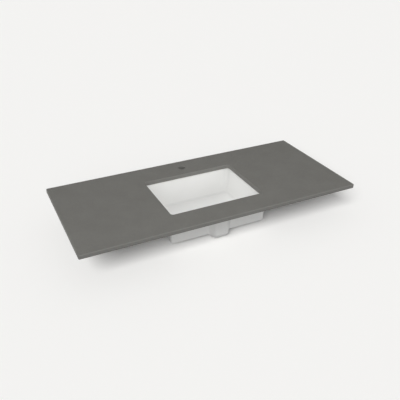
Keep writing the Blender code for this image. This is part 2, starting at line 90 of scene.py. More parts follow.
# Overflow: hump on the outside, slot in the bowl, duct between them
HUMP_PROUD, HUMP_TOP_PROUD, HUMP_DROP = 0.026, 0.0212, 0.019
HUMP_BEND_RADIUS, HUMP_NECK = 0.030, 0.0012
HUMP_REACH, HUMP_FLARE = 0.053, 0.026  # half of its breadth, and the breadth of one flare
HUMP_FADE = 0.030  # over which the channel dies away beside the boss
SLOT_DROP, SLOT_HALF_WIDTH, SLOT_HALF_HEIGHT, SLOT_LIP = 0.026, 0.017, 0.0045, 0.0016
DUCT_SETBACK, DUCT_FRONT, DUCT_LOW, DUCT_END = 0.004, -0.1735, -0.121, -0.032
DUCT_BENDS = (0.0105, 0.018)
DUCT_MARKS = (0, 0.030, 0.085, 0.125)  # along it: the slot, below it, the foot, the floor
DUCT_HALF_WIDTH, DUCT_HALF_DEPTH, DUCT_HALF_OUTLET = 0.020, 0.009, 0.005
OUTLET_TOP, OUTLET_BOTTOM = -0.1235, -0.1305

# Silicone bead
BEAD_IN, BEAD_OUT, BEAD_HOLLOW = 0.001, 0.015, 0.0005

# Fixings
CLEARANCE = 0.0003  # where one piece sits in or on another
SET_SIDE, SET_REACH = 0.150, 0.047  # of a set: off the basin's middle, and out from its rim
THREAD_PITCH, THREAD_DEPTH, INNER_THREAD_DEPTH = 0.001, 0.00055, 0.00025
STUD_RADIUS, STUD_LOW, STUD_HIGH, STUD_CHAMFER = 0.003, -0.0321, 0.009, 0.0010
INSERT_RADIUS, INSERT_LENGTH, INSERT_CHAMFER, INSERT_MOUTH = 0.00475, 0.011, 0.0004, 0.0007
RIB_DEPTH, RIB_PITCH = 0.0003, 0.0022
CLIP_TOP, CLIP_THICKNESS, CLIP_WIDTH, CLIP_BEND_RADIUS = -0.0159, 0.002, 0.020, 0.0015
CLIP_TOE, CLIP_HEEL, CLIP_SLOT_LENGTH, CLIP_SLOT_RADIUS = 0.021, -0.015, 0.013, 0.0034
CLIP_CORNER_RADIUS, CLIP_RIM = 0.0025, 0.0004
WASHER_TOP, WASHER_RADIUS, WASHER_THICKNESS = -0.0182, 0.00825, 0.0016
WASHER_ROUNDS = (0.00015, 0.0005, 0.0004, 0.00015)  # low outer, high outer, high and low inner
NUT_TOP, NUT_HEIGHT, NUT_COLLAR_HEIGHT = -0.0201, 0.008, 0.002
NUT_MOUTH_RADIUS, NUT_COLLAR_RADIUS, NUT_FOOT_RADIUS = 0.0045, 0.006, 0.00475
NUT_ROUNDS = (0.0004, 0.0010, 0.0008, 0.0005, 0.0005)
EAR_ROOT, EAR_ROOT_TOP, EAR_ROOT_FOOT, EAR_LEAVE = 0.0040, -0.0030, -0.0074, 0.004
EAR_TIP, EAR_TIP_RADIUS, EAR_THICKNESS, EAR_RIM = (0.0110, -0.0095), 0.0045, 0.0026, 0.0009
EAR_AT_ROOT, EAR_THINNING = 1.25, 0.4  # times its thickness, and how much less at the tip

# Cells of the slab
SLAB_CORNER_CELLS, SLAB_SIDE_CELLS, SLAB_ARRIS_CELLS = 8, 24, 6
CUTOUT_CORNER_CELLS, CUTOUT_SIDE_CELLS, CUTOUT_ARRIS_CELLS = 16, 16, 5
TAP_HOLE_CELLS, ANCHOR_HOLE_CELLS = 96, 40

# Cells of the basin's rings and rows
MIDDLE_CELLS, MIDDLE_HALF = 40, 0.060  # across the overflow, and half of that breadth
FLANK_CELLS, CORNER_CELLS, SIDE_CELLS = 8, 12, 24
LIP_CELLS, FILLET_CELLS, NECK_CELLS, EDGE_CELLS = 6, 10, 5, 6
FLOOR_CELLS, UNDERSIDE_CELLS = 14, 22
SLOT_TOP, SLOT_BOTTOM, SLOT_ROWS, SLOT_HALF_CELLS = -0.016, -0.036, 8, 8
WALL_LEVELS = np.concatenate(
    [[-0.009], np.linspace(SLOT_TOP, SLOT_BOTTOM, SLOT_ROWS + 1), np.linspace(-0.045, -0.086, 5)]
)
OUTER_SHARES = np.linspace(0, 1, 12)[1:-1]
OUTLET_ROWS, OUTLET_HALF_CELLS = 6, 18
SLOT_LIP_CELLS, SLOT_STEPS = 5, (0.45, 0.8)  # steps: shares of the way from wall to lip
DUCT_STATIONS, DUCT_BEND_CELLS, BEAD_CELLS = 44, 16, 6

# Cells of the fixings
RIM_CELLS = 4
STUD_ROWS, STUD_CELLS, INSERT_ROWS, INSERT_CELLS = 328, 24, 66, 36
CLIP_CORNER_CELLS, CLIP_SIDE_CELLS, CLIP_SLOT_CELLS, CLIP_INNER_CELLS = 6, 64, 16, 8
WASHER_CELLS, WASHER_ROUND_CELLS = 56, 4
NUT_CELLS, NUT_ROUND_CELLS, EAR_ARC_CELLS, EAR_CURVE_CELLS = 48, 5, 20, 8

# Joining
SAME_POINT, SEAL = 1e-7, 2e-6
SHARP_DEGREES = 34.0


# Surfaces


def rows_of(*values):
    """Points made of their coordinates. One that has fewer values is repeated."""
    return np.stack(np.broadcast_arrays(*values), axis=-1)


def unit(ways):
    """Directions brought to length 1."""
    return ways / np.linalg.norm(ways, axis=-1, keepdims=True)


def grid(points, loop_rows=False, keep=None):
    """Quads between neighbours of a (rows, columns, 3) array whose columns close to a ring;
    keep leaves some cells out."""
    rows, columns = points.shape[:2]
    index = np.arange(rows * columns).reshape(rows, columns)
    if loop_rows:
        index = np.vstack([index, index[:1]])
    index = np.hstack([index, index[:, :1]])
    faces = rows_of(index[:-1, :-1], index[:-1, 1:], index[1:, 1:], index[1:, :-1])
    faces = faces.reshape(-1, 4) if keep is None else faces[keep]
    return points.reshape(-1, 3), faces


def filled(loops, axes=(0, 1), inside=()):
    """Flat area between closed loops of points, as triangles.

    A triangle stays where a line from its middle to the right crosses the loops an odd
    number of times. The blocks of points inside only divide the area further.
    """
    starts = np.cumsum([0] + [len(loop) for loop in loops])
    rounds = [np.arange(first, end) for first, end in zip(starts, starts[1:])]
    edges = np.vstack([rows_of(each, np.roll(each, -1)) for each in rounds])
    points = np.vstack([*loops, *inside])
    flat = points[:, axes]
    made = geometry.delaunay_2d_cdt(flat.tolist(), edges.tolist(), [], 0, SAME_POINT)
    source = np.array([first[0] for first in made[3]])
    triangles = source[np.array(made[2])]
    x, y = np.split(flat[triangles].mean(axis=1), 2, axis=1)
    (from_x, from_y), (to_x, to_y) = flat[edges[:, 0]].T, flat[edges[:, 1]].T
    across = (from_y > y) != (to_y > y)
    share = (y - from_y) / np.where(to_y == from_y, 1.0, to_y - from_y)
    right = x < from_x + (to_x - from_x) * share
    odd = (across & right).sum(axis=1) % 2 == 1
    return points, triangles[odd]


def corner_arc(before, corner, after, radius, cells):
    """Arc that touches both legs of a corner, as (cells + 1, 2) points.

    Its centre lies on the line that halves the corner, radius / sin(half angle) away. The
    spokes to the two touching points are mixed by sin((1 - t) w) and sin(t w) over sin(w).
    """
    before, corner, after = np.array([before, corner, after], float)
    legs = unit(np.stack([before - corner, after - corner]))
    half = np.arccos(legs[0] @ legs[1]) / 2
    centre = corner + unit(legs.sum(axis=0)) * radius / np.sin(half)
    spokes = corner + legs * radius / np.tan(half) - centre
    sweep = math.pi - 2 * half
    share = np.linspace(0, 1, cells + 1)[:, None]
    spoke = np.sin((1 - share) * sweep) * spokes[0] + np.sin(share * sweep) * spokes[1]
    return centre + spoke / np.sin(sweep)


def rounded_line(points, radii, cells):
    """A line through the points whose inner corners are arcs of the radii."""
    corners = zip(points, points[1:], points[2:], radii)
    arcs = [corner_arc(*corner, cells) for corner in corners]
    return np.vstack([points[:1], *arcs, points[-1:]])


def curve(start, control, end, cells):
    """Quadratic curve (1 - t)^2 start + 2 t (1 - t) control + t^2 end."""
    t = np.linspace(0, 1, cells + 1)[:, None]
    start, control, end = np.array([start, control, end], float)
    return (1 - t) ** 2 * start + 2 * t * (1 - t) * control + t * t * end


def smooth(share):
    """Share eased at both ends: 3 s^2 - 2 s^3, held at 0 and 1 outside."""
    share = np.clip(share, 0, 1)
    return share * share * (3 - 2 * share)


def wave(levels, pitch, turn=0):
    """A wave between 0 and 1, (1 - cos(phase)) / 2, whose phase grows by one turn in each
    pitch and falls with the angle, as a screw thread's does."""
    return (1 - np.cos(math.tau * levels / pitch - turn)) / 2


def around(cells):
    """Even steps of a full turn."""
    return np.linspace(0, math.tau, cells, endpoint=False)


def swept(start, end, cells):
    """Even steps from one angle in degrees to another."""
    return np.radians(np.linspace(start, end, cells + 1))


def quarter_round(radius, cells):
    """How far a rounded edge lies in and down from its corner, from level to upright."""
    turn = swept(0, 90, cells)
    return radius * (1 - np.sin(turn)), radius * (1 - np.cos(turn))


def laid_out(*stretches):
    """Rows in even steps over stretches (cells, first, last), each without its last."""
    return np.vstack([np.linspace(a, b, cells, endpoint=False) for cells, a, b in stretches])


def turned(reach, turn, height):
    """Points at a reach from Z in the directions of turn, at a height. Reach and height have
    one value, or one for each row, and then the result is (rows, columns, 3)."""
    return rows_of(reach * np.cos(turn), reach * np.sin(turn), height)


def lathed(line, turn):
    """(rows, columns, 3) surface of a (radius, height) line turned about Z."""
    line = np.asarray(line, float)
    return turned(line[:, :1], turn, line[:, 1:])


def rounded_rectangle(length, width, radius, centre, corner_cells, side_cells):
    """Outline of a rounded rectangle and the way it faces at each point, both (n, 2).

    Each quarter is the corner's arc about (length/2 - radius, width/2 - radius), followed by
    equal steps along the straight to the next corner.
    """
    signs = [(1, 1), (-1, 1), (-1, -1), (1, -1), (1, 1)]
    stretches = []
    for quarter, (sign, after) in enumerate(zip(signs, signs[1:])):
        end = 90 * quarter + 90
        stretches.append((corner_cells, (*sign, end - 90), (*sign, end)))
        stretches.append((side_cells, (*sign, end), (*after, end)))
    x, y, angle = laid_out(*stretches).T
    facing = turned(1, np.radians(angle), 0)[:, :2]
    reach = np.array([length, width]) / 2 - radius
    return rows_of(x, y) * reach + radius * facing + centre, facing


def edge_rows(outline, facing, levels):
    """(rows, n, 3) wall of a plate: the outline drawn back along its facing by each level's
    inset, at that level's height."""
    inset, height = np.asarray(levels, float).T[..., None]
    x, y = outline.T[:, None] - facing.T[:, None] * inset
    return rows_of(x, y, height)


def eased(bottom, top, radius, cells):
    """Levels (inset, height) down a plate's edge: a flat strip, a quarter round at the top,
    one below and a flat strip."""
    inset, down = quarter_round(radius, cells)
    high, low = rows_of(inset, top - down), rows_of(down, bottom + inset)
    return np.vstack([(radius + GUARD, top), high, low, (radius + GUARD, bottom)])


def plate(outline, thickness, rim, holes=(), inside=np.empty((0, 2))):
    """A plate in its own x, y plane with quarter-round rims, as blocks of points and faces.

    Outline and holes are (n, 2) loops; the facing of a loop is its tangent turned by 90
    degrees, so that an anticlockwise outline faces out and a clockwise hole faces in.
    """
    levels = eased(-thickness / 2, thickness / 2, rim, RIM_CELLS)[1:-1]
    walls = []
    for loop in (outline, *holes):
        tangent = np.roll(loop, -1, axis=0) - np.roll(loop, 1, axis=0)
        walls.append(edge_rows(loop, unit(tangent[:, ::-1] * (1, -1)), levels))
    blocks = [grid(wall) for wall in walls]
    for row, height in ((0, thickness / 2), (-1, -thickness / 2)):
        inner = np.insert(inside, 2, height, axis=1)
        blocks.append(filled([wall[row] for wall in walls], inside=[inner]))
    return blocks


def shifted(blocks, shift):
    """The blocks moved by a shift."""
    return [(points + shift, faces) for points, faces in blocks]


def joined(name, blocks):
    """One closed mesh of several blocks, welded, facing outwards, sharp only at real edges."""
    starts = np.cumsum([0] + [len(points) for points, _ in blocks])
    points = np.vstack([points for points, _ in blocks])
    faces = []
    for start, (_, block_faces) in zip(starts, blocks):
        faces += (block_faces + start).tolist()
    mesh = bpy.data.meshes.new(name)
    mesh.from_pydata(points.tolist(), [], faces)
    shape = bmesh.new()
    shape.from_mesh(mesh)
    bmesh.ops.remove_doubles(shape, verts=shape.verts, dist=SEAL)
    bmesh.ops.recalc_face_normals(shape, faces=shape.faces)
    shape.to_mesh(mesh)
    shape.free()
    mesh.shade_smooth()
    mesh.set_sharp_from_angle(angle=math.radians(SHARP_DEGREES))
    return mesh


def added(name, data):
    """A new object in the scene."""
    made = bpy.data.objects.new(name, data)
    bpy.context.scene.collection.objects.link(made)
    return made


def dress(mesh, finish, node):
    """Puts a piece in the scene in place of its CAD node."""
    mesh.materials.append(finish)
    made = added(mesh.name, mesh)
    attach(made, "root")
    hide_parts(node)


# Slab


def slab_blocks(places):
    """Plate with eased edges: outer wall, cut-out, tap hole and six blind holes from below."""
    outer, outer_facing = rounded_rectangle(
        SLAB_LENGTH, SLAB_DEPTH, SLAB_CORNER_RADIUS, (0, SLAB_MIDDLE),
        SLAB_CORNER_CELLS, SLAB_SIDE_CELLS,
    )
    opening, opening_facing = rounded_rectangle(
        CUTOUT_LENGTH, CUTOUT_WIDTH, CUTOUT_CORNER_RADIUS, (0, CUTOUT_MIDDLE),
        CUTOUT_CORNER_CELLS, CUTOUT_SIDE_CELLS,
    )
    tap_facing = -turned(1, around(TAP_HOLE_CELLS), 0)[:, :2]
    tap = (0, TAP_HOLE_MIDDLE) - TAP_HOLE_RADIUS * tap_facing
    round_edge = eased(0, SLAB_THICKNESS, SLAB_ARRIS, SLAB_ARRIS_CELLS)
    opening_edge = eased(0, SLAB_THICKNESS, CUTOUT_ARRIS, CUTOUT_ARRIS_CELLS)
    tap_edge = np.vstack([opening_edge[: CUTOUT_ARRIS_CELLS + 2], [(0, 0), (GUARD, 0)]])
    walls = [
        edge_rows(outer, outer_facing, round_edge),
        edge_rows(opening, -opening_facing, opening_edge),
        edge_rows(tap, tap_facing, tap_edge),
    ]
    blocks = [grid(wall) for wall in walls]
    blocks.append(filled([wall[0] for wall in walls]))
    low_loops = [wall[-1] for wall in walls]
    for x, y, _ in places:
        mouth = turned(ANCHOR_HOLE_RADIUS, around(ANCHOR_HOLE_CELLS), 0) + (x, y, 0)
        end = mouth + (0, 0, ANCHOR_HOLE_DEPTH)
        low_loops.append(mouth)
        blocks += [grid(np.stack([mouth, end])), filled([end])]
    blocks.append(filled(low_loops))
    return blocks


# Basin and bead


def ring_columns():
    """Where each column of a basin ring lies: across (0 at the middle, 1 at the overflow
    zone's end, 2 at the straight's end), along (-1 front, 1 back) and the way it faces.

    The right half is written out from the front's middle to the back's middle, and the left
    half mirrors it.
    """
    rows = laid_out(
        (MIDDLE_CELLS // 2, (0, -1, -90), (1, -1, -90)),
        (FLANK_CELLS, (1, -1, -90), (2, -1, -90)),
        (CORNER_CELLS, (2, -1, -90), (2, -1, 0)),
        (SIDE_CELLS, (2, -1, 0), (2, 1, 0)),
        (CORNER_CELLS, (2, 1, 0), (2, 1, 90)),
        (FLANK_CELLS, (2, 1, 90), (1, 1, 90)),
        (MIDDLE_CELLS // 2, (1, 1, 90), (0, 1, 90)),
    )
    right = np.vstack([rows, (0, 1, 90)])
    left = right[-2:0:-1] * (-1, 1, -1) + (0, 0, 180)
    across, along, angle = np.vstack([right, left]).T
    angle = np.radians(angle)
    return across, along, np.stack([np.cos(angle), np.sin(angle)])


ACROSS, ALONG, FACING = ring_columns()
COLUMNS = len(ACROSS)
BY_ENDS = FACING[0] ** 2
BY_FRONT = np.minimum(FACING[1], 0) ** 2
BY_BACK = np.maximum(FACING[1], 0) ** 2
ON_FRONT = BY_FRONT > 0.999  # the columns of the front's straight


def rings(outs, radius, height):
    """Rounded rectangles as (rows, columns, 3), each argument with one value for each row.

    Outs gives how far the ends, the front and the back lie outside the bowl's rim. A
    column's point is the centre of its corner arc, or the step along its straight, plus
    radius times the way it faces. Height may also have a value for each column.
    """
    halves = (RIM_LENGTH / 2, RIM_WIDTH / 2, RIM_WIDTH / 2)
    ends, front, back = (half + np.reshape(out, (-1, 1)) for half, out in zip(halves, outs))
    radius = np.reshape(radius, (-1, 1))
    size = np.abs(ACROSS)
    flank = MIDDLE_HALF + (size - 1) * (ends - radius - MIDDLE_HALF)
    x = np.sign(ACROSS) * np.where(size <= 1, size * MIDDLE_HALF, flank) + radius * FACING[0]
    y = (ALONG + 1) / 2 * (front + back - 2 * radius) - (front - radius) + radius * FACING[1]
    return rows_of(x, y, height)


def round_rings(line):
    """Circles for (radius, height) points, with columns spread evenly from the front."""
    return lathed(line, around(COLUMNS) - math.pi / 2)


def bell(x):
    """Height of the overflow hump across the basin: flat in its middle, eased flares."""
    return smooth((HUMP_REACH - np.abs(x)) / HUMP_FLARE)


def side_rings(lines, radius):
    """Rings whose ends, front and back follow three (out, height) lines. In the corners the
    heights are mixed by the squares of the facing."""
    shares = (BY_ENDS, BY_FRONT, BY_BACK)
    height = sum(line[:, 1:] * share for line, share in zip(lines, shares))
    return rings([line[:, 0] for line in lines], radius, height)


def bowl_side(draft):
    """(out, height) of one bowl wall: the lip's arc and the floor fillet's arc, both
    touching the leaning line of the wall."""
    lean = draft / WALL_DROP
    top = (-lean * RIM_ROUND, 0)
    bottom = (lean * (BOWL_DEPTH - RIM_ROUND), -BOWL_DEPTH)
    lip = corner_arc((-FLANGE_BREADTH, 0), top, bottom, RIM_ROUND, LIP_CELLS)
    turn = corner_arc(top, bottom, (RIM_WIDTH, -BOWL_DEPTH), FLOOR_FILLET, FILLET_CELLS)
    return lip * (-1, 1), turn * (-1, 1)


def bowl_rows():
    """Lip, walls and floor fillet. The wall's rows lie at the front's levels."""
    sides = [bowl_side(draft) for draft in BOWL_DRAFTS]
    high, low = sides[1][0][-1, 1], sides[1][1][0, 1]
    share = ((WALL_LEVELS - high) / (low - high))[:, None]
    lines = [np.vstack([lip, lip[-1] + share * (turn[0] - lip[-1]), turn]) for lip, turn in sides]
    out, height = lines[1].T
    down = np.clip((-height - RIM_ROUND) / WALL_DROP, 0, 1)
    radius = RIM_CORNER_RADIUS + (BOWL_CORNER_RADIUS - RIM_CORNER_RADIUS) * down
    return side_rings(lines, radius + np.maximum(out, 0))


def floor_rows(edge):
    """The floor: its edge ring drawn straight to the seat's circle, falling as s^2 (2 - s)."""
    share = np.linspace(0, 1, FLOOR_CELLS + 1)[1:-1, None, None]
    rows = edge + (round_rings([(SEAT_EDGE_RADIUS, FLOOR_LOW)])[0] - edge) * share
    rows[..., 2] = -BOWL_DEPTH - FLOOR_FALL * (share * share * (2 - share))[..., 0]
    return rows


def drain_rows():
    """Seat recess, bore with level rows at the overflow's outlet, and the boss's underside."""
    seat = rounded_line(
        [(SEAT_EDGE_RADIUS, FLOOR_LOW), (SEAT_RADIUS + SEAT_TAPER, FLOOR_LOW),
         (SEAT_RADIUS, SEAT_HEIGHT), (BORE_RADIUS, SEAT_HEIGHT), (BORE_RADIUS, OUTLET_TOP)],
        SEAT_ROUNDS, EDGE_CELLS,
    )
    levels = np.linspace(OUTLET_TOP, OUTLET_BOTTOM, OUTLET_ROWS + 1)[1:]
    bore = rows_of(BORE_RADIUS, levels)
    boss = rounded_line(
        [(BORE_RADIUS, OUTLET_BOTTOM), (BORE_RADIUS, BOSS_BOTTOM), (BOSS_RADIUS, BOSS_BOTTOM),
         (BOSS_RADIUS, BOSS_BOTTOM + 2 * BOSS_ROUND)],
        (BORE_ROUND, BOSS_ROUND), EDGE_CELLS,
    )
    return round_rings(np.vstack([seat, bore, boss[1:-1]])), len(seat) - 1


def outside_side(draft, proud, top_proud, drop, bend, neck):
    """(out, height) up one outer wall: bottom bend, leaning wall, neck under the flange."""
    run = -UNDERSIDE - FLANGE_THICKNESS - NECK_FILLET
    low = WALL_THICKNESS - draft * run / (run - OUTER_FILLET) + proud
    bottom = (low, UNDERSIDE - drop)
    top = (WALL_THICKNESS + top_proud, -FLANGE_THICKNESS)
    turn = corner_arc((-RIM_WIDTH, UNDERSIDE - drop), bottom, top, bend, FILLET_CELLS)
    root = corner_arc(bottom, top, (RIM_WIDTH, -FLANGE_THICKNESS), neck, NECK_CELLS)
    wall = turn[-1] + OUTER_SHARES[:, None] * (root[0] - turn[-1])
    return np.vstack([turn, wall, root])


def outside_rows():
    """Outer walls. On the front, the wall is mixed with the hump's side view by the bell."""
    lines = [outside_side(draft, 0, 0, 0, OUTER_FILLET, NECK_FILLET) for draft in OUTER_DRAFTS]
    root_out = lines[0][-NECK_CELLS - 1 :, 0]
    radius = np.full(len(lines[0]), OUTER_CORNER_RADIUS)
    radius[-NECK_CELLS - 1 :] += root_out - root_out[0]
    rows = side_rings(lines, radius)
    full = outside_side(
        OUTER_DRAFTS[1], HUMP_PROUD, HUMP_TOP_PROUD, HUMP_DROP, HUMP_BEND_RADIUS, HUMP_NECK
    )
    swell = bell(rows[..., 0]) * ON_FRONT
    rows[..., 1] -= (full - lines[1])[:, :1] * swell
    rows[..., 2] += (full - lines[1])[:, 1:] * swell
    return rows


def underside_rows(edge):
    """From the boss out to the walls: the fillet round the boss, then rings drawn straight
    to the walls' edge, lowered where the overflow channel runs."""
    wide = BOSS_RADIUS + BOSS_FILLET
    ring = round_rings([(wide, UNDERSIDE - FLOOR_FALL)])[0]
    share = np.linspace(1, 0, UNDERSIDE_CELLS + 1)[:-1, None, None]
    rows = edge + (ring - edge) * share
    channel = HUMP_DROP * bell(rows[..., 0]) * smooth(-rows[..., 1] / HUMP_FADE)
    rows[..., 2] = UNDERSIDE - FLOOR_FALL * share[..., 0] - channel
    turn = swept(90, 0, EDGE_CELLS)[:-1, None]
    reach = (wide - BOSS_FILLET * np.sin(turn)) / wide
    root = np.repeat(rows[:1], EDGE_CELLS, axis=0)
    root[..., :2] *= reach[..., None]
    root[..., 2] -= BOSS_FILLET * (1 - np.cos(turn))
    return np.concatenate([root, rows])


def flange_rows():
    """Rounded rim of the flange, and its flat top up to the bowl's lip."""
    edge = FLANGE_BREADTH
    rim = rounded_line(
        [(0, -FLANGE_THICKNESS), (edge, -FLANGE_THICKNESS), (edge, 0), (0, 0)],
        (FLANGE_ROUND, FLANGE_ROUND), EDGE_CELLS,
    )[1:-1]
    top = [(edge - FLANGE_ROUND - GUARD, 0), (RIM_ROUND + GUARD, 0)]
    line = np.vstack([rim, top])
    radius = FLANGE_CORNER_RADIUS - (edge - line[:, 0])
    radius[-1] = RIM_CORNER_RADIUS + line[-1, 0]
    return rings([line[:, 0]] * 3, radius, line[:, 1:])


def block_loop(rows, first, last, half):
    """Points round a block of cells on the front's middle columns, from its top left."""
    columns = np.arange(-half, half + 1) % COLUMNS
    block = rows[first : last + 1][:, columns]
    return np.concatenate([block[0, :-1], block[:-1, -1], block[-1, :0:-1], block[:0:-1, 0]])


def slot_outline(half_width, half_height):
    """(rows, 48, 2) round-ended slots: for each point the end it belongs to, from -1 to 1,
    times the straight's half length, plus the radius times the way it faces. The second half
    of the points is the first one turned about the middle."""
    half = laid_out(
        (SLOT_HALF_CELLS // 2, (-1, 135), (-1, 90)),
        (SLOT_HALF_CELLS, (-1, 90), (1, 90)),
        (SLOT_HALF_CELLS // 2, (1, 90), (1, 45)),
        (SLOT_HALF_CELLS, (1, 45), (1, -45)),
    )
    end, angle = np.vstack([half, half * (-1, 1) - (0, 180)]).T
    angle = np.radians(angle)
    half_width, half_height = (np.reshape(v, (-1, 1)) for v in (half_width, half_height))
    u = end * (half_width - half_height) + half_height * np.cos(angle)
    return rows_of(u, half_height * np.sin(angle))


def front_wall(height):
    """y of the bowl's front wall at a height."""
    return -RIM_WIDTH / 2 + BOWL_DRAFTS[1] / WALL_DROP * (-height - RIM_ROUND)


def slot_rows(block):
    """From the block of dropped wall cells to the slot's rolled lip."""
    grow, depth = quarter_round(SLOT_LIP, SLOT_LIP_CELLS)
    outline = slot_outline(SLOT_HALF_WIDTH + grow, SLOT_HALF_HEIGHT + grow)
    height = outline[..., 1] - SLOT_DROP
    lip = rows_of(outline[..., 0], front_wall(height) - depth[:, None], height)
    between = block + (lip[0] - block) * np.reshape(SLOT_STEPS, (-1, 1, 1))
    return np.concatenate([block[None], between, lip])


def duct_rows():
    """The overflow's duct: a round-ended section carried along a bent line in the y, z plane.

    The section's own up is the line's direction turned by 90 degrees. The line is spread to
    equal stations; the section widens below the slot and flattens under the floor.
    """
    bent = rounded_line(
        [(front_wall(-SLOT_DROP) - DUCT_SETBACK, -SLOT_DROP), (DUCT_FRONT, -SLOT_DROP),
         (DUCT_FRONT, DUCT_LOW), (DUCT_END, DUCT_LOW - FLOOR_FALL)],
        DUCT_BENDS, DUCT_BEND_CELLS,
    )
    run = np.concatenate([[0], np.cumsum(np.linalg.norm(np.diff(bent, axis=0), axis=1))])
    at = np.linspace(0, run[-1], DUCT_STATIONS)
    line = rows_of(*(np.interp(at, run, axis) for axis in bent.T))
    way = unit(np.gradient(line, axis=0))
    width = np.interp(at, DUCT_MARKS[:2], (SLOT_HALF_WIDTH, DUCT_HALF_WIDTH))
    depths = (SLOT_HALF_HEIGHT, DUCT_HALF_DEPTH, DUCT_HALF_DEPTH, DUCT_HALF_OUTLET)
    section = slot_outline(width, np.interp(at, DUCT_MARKS, depths))
    y = line[:, :1] + section[..., 1] * way[:, 1:]
    z = line[:, 1:] - section[..., 1] * way[:, :1]
    y[-1] = DUCT_END
    return rows_of(section[..., 0], y, z)


def basin_blocks():
    """All rings of the basin in one closed loop, with the overflow let in."""
    outside, bowl = outside_rows(), bowl_rows()
    drain, outlet_row = drain_rows()
    underside = underside_rows(outside[0])
    parts = [flange_rows(), bowl, floor_rows(bowl[-1]), drain, underside, outside]
    starts = np.cumsum([0] + [len(part) for part in parts])
    rows = np.concatenate(parts)
    keep = np.ones((len(rows), COLUMNS), bool)
    slot_first = starts[1] + LIP_CELLS + 2  # below the lip's rows and the wall's first one
    outlet_first = starts[3] + outlet_row
    loops = []
    for first, count, half in (
        (slot_first, SLOT_ROWS, SLOT_HALF_CELLS),
        (outlet_first, OUTLET_ROWS, OUTLET_HALF_CELLS),
    ):
        keep[first : first + count, np.arange(-half, half) % COLUMNS] = False
        loops.append(block_loop(rows, first, first + count, half))
    way = np.concatenate([slot_rows(loops[0]), duct_rows()])
    window = loops[1].copy()
    window[:, 1] = DUCT_END
    blocks = [
        grid(rows, loop_rows=True, keep=keep),
        grid(way),
        grid(np.stack([loops[1], window])),
        filled([way[-1], window], axes=(0, 2)),
    ]
    return shifted(blocks, (0, CUTOUT_MIDDLE, BASIN_TOP))


def bead_blocks():
    """The bead: a flat section with a hollow inner face and a full outer one."""
    share = np.linspace(-1, 1, BEAD_CELLS + 1)
    middle, half = BASIN_TOP / 2, -BASIN_TOP / 2 - CLEARANCE
    inner = rows_of(BEAD_IN + BEAD_HOLLOW * (1 - share**2), middle + half * share)
    outer = rows_of(BEAD_OUT - BEAD_HOLLOW * share**2, middle - half * share)
    line = np.vstack([inner, outer])
    rows = rings([line[:, 0]] * 3, RIM_CORNER_RADIUS + line[:, 0], line[:, 1:])
    return shifted([grid(rows, loop_rows=True)], (0, CUTOUT_MIDDLE, 0))


# Fixings


def set_places():
    """Stud axis (x, y) of each fixing set and the turn that points its clip at the basin."""
    side, reach_x, reach_y = SET_SIDE, RIM_LENGTH / 2 + SET_REACH, RIM_WIDTH / 2 + SET_REACH
    front, back = CUTOUT_MIDDLE - reach_y, CUTOUT_MIDDLE + reach_y
    return (
        (-side, front, 90), (side, front, 90), (reach_x, CUTOUT_MIDDLE, 180),
        (side, back, 270), (-side, back, 270), (-reach_x, CUTOUT_MIDDLE, 0),
    )


def placed(blocks, place):
    """The blocks turned about Z and moved to a fixing set's axis."""
    x, y, turn = place
    cos, sin = math.cos(math.radians(turn)), math.sin(math.radians(turn))
    axes = np.array([(cos, sin, 0), (-sin, cos, 0), (0, 0, 1)])
    return [(points @ axes + (x, y, 0), faces) for points, faces in blocks]


def insert_blocks():
    """Brass insert: ribbed outside, threaded bore, chamfered mouth, as one closed section."""
    levels, turn = np.linspace(0, INSERT_LENGTH, INSERT_ROWS + 1), around(INSERT_CELLS)
    ribs = INSERT_RADIUS - RIB_DEPTH * wave(levels, RIB_PITCH)
    to_end = np.minimum(levels, INSERT_LENGTH - levels)
    ribs = np.minimum(ribs, INSERT_RADIUS - INSERT_CHAMFER + to_end)
    outside = lathed(rows_of(ribs, levels), turn)
    back = levels[::-1, None]
    bore = STUD_RADIUS + CLEARANCE + INNER_THREAD_DEPTH * wave(back, THREAD_PITCH, turn)
    widened = STUD_RADIUS + CLEARANCE + np.clip(INSERT_MOUTH - back, 0, None)
    inside = turned(np.maximum(bore, widened), turn, back)
    return [grid(np.concatenate([outside, inside]), loop_rows=True)]


def stud_blocks():
    """Threaded rod: radius less the thread's wave, with both ends coned."""
    levels, turn = np.linspace(STUD_LOW, STUD_HIGH, STUD_ROWS + 1)[:, None], around(STUD_CELLS)
    to_end = np.minimum(levels - STUD_LOW, STUD_HIGH - levels)
    reach = STUD_RADIUS - THREAD_DEPTH * wave(levels, THREAD_PITCH, turn)
    rows = turned(np.minimum(reach, STUD_RADIUS - STUD_CHAMFER + to_end), turn, levels)
    return [grid(rows), filled([rows[0]]), filled([rows[-1]])]


def washer_blocks():
    """Punched washer: a flat section whose upper rim is rolled and whose lower one is sharper."""
    inner, outer, low = STUD_RADIUS + CLEARANCE, WASHER_RADIUS, WASHER_TOP - WASHER_THICKNESS
    middle = ((inner + outer) / 2, low)
    line = rounded_line(
        [middle, (outer, low), (outer, WASHER_TOP), (inner, WASHER_TOP), (inner, low), middle],
        WASHER_ROUNDS, WASHER_ROUND_CELLS,
    )
    return [grid(lathed(line[:-1], around(WASHER_CELLS)), loop_rows=True)]


